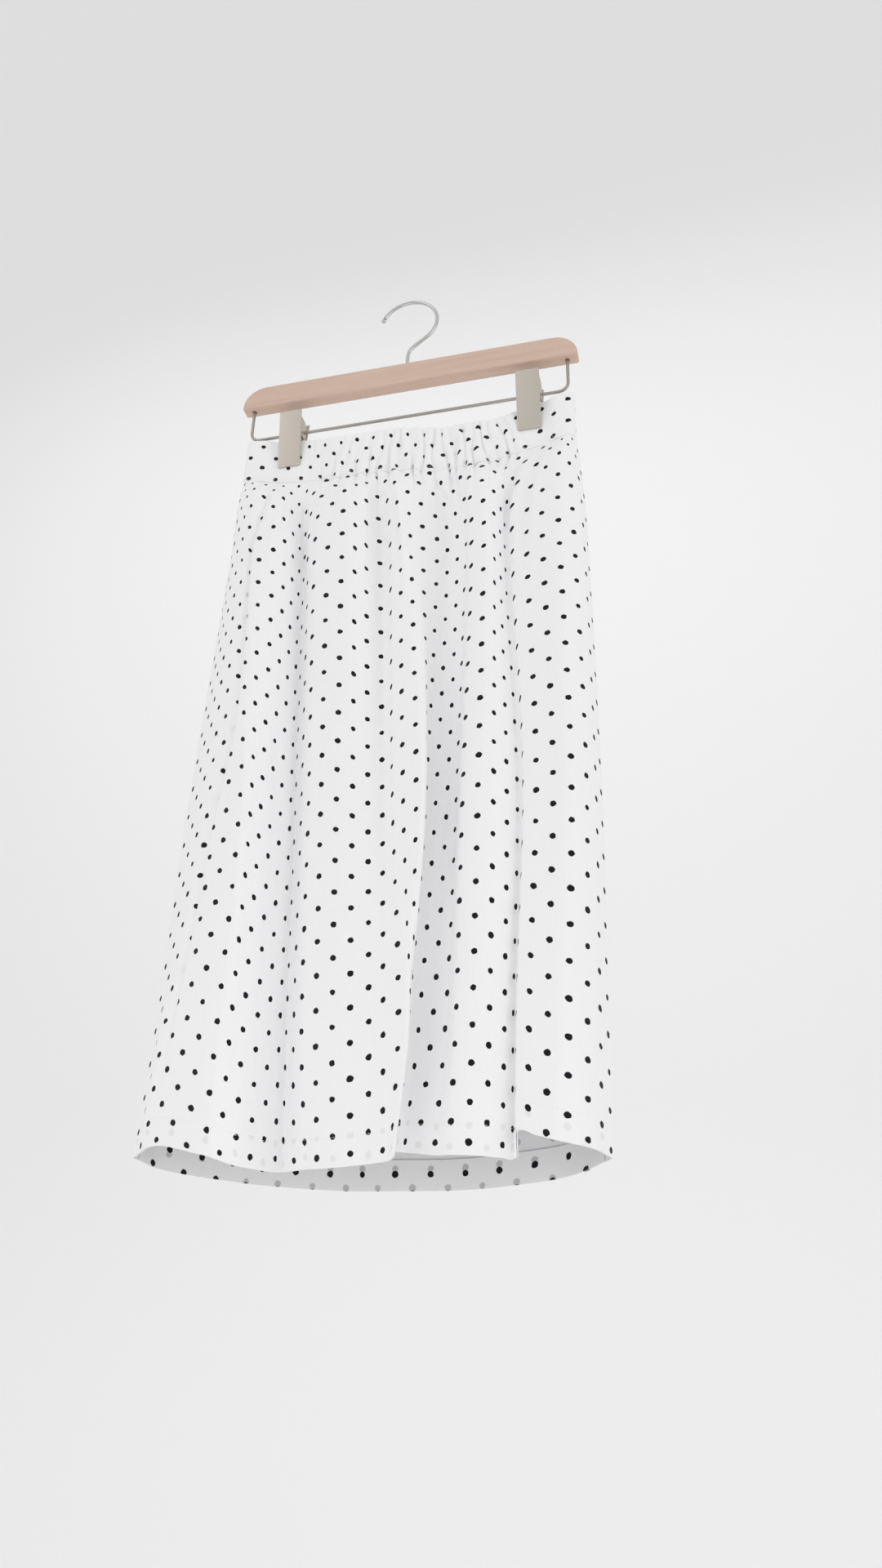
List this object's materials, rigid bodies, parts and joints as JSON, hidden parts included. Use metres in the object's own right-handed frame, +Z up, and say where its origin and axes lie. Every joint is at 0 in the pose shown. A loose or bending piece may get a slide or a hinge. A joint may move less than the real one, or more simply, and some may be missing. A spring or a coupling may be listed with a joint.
{
  "type": "gathered midi skirt with an elastic waist, hanging in a wooden clip hanger",
  "caption": "Midi skirt with an elastic waist and soft gathered folds, hung by its waistband from the clips of a wooden hanger.",
  "frame": {"origin": "inside top of the hook, the point that a rail or nail holds", "axes": "+Z up, +Y towards the back of the skirt, +X to the right as seen from the front"},
  "size_m": [0.379, 0.1105, 0.9168],
  "materials": {
    "dotted_cotton": "white woven cotton blend, matte, printed with small near-black dots",
    "beech": "pale beech under a clear satin lacquer",
    "hook_chrome": "polished chrome plating",
    "plated_wire": "drawn steel wire, nickel plated",
    "satin_nickel": "pressed sheet steel, warm satin nickel plating"
  },
  "bodies": {
    "root": {"hanger_bar": "beech", "hook": "hook_chrome", "hook_tip": "hook_chrome", "hook_collar": "hook_chrome", "wire_loop": "plated_wire", "clip_left_front": "satin_nickel", "clip_left_back": "satin_nickel", "clip_left_spring": "plated_wire", "clip_right_front": "satin_nickel", "clip_right_back": "satin_nickel", "clip_right_spring": "plated_wire", "waistband_front": "dotted_cotton", "waistband_back": "dotted_cotton", "skirt_front": "dotted_cotton", "skirt_back": "dotted_cotton", "hem_turn_up_front": "dotted_cotton", "hem_turn_up_back": "dotted_cotton"}
  },
  "joints": []
}
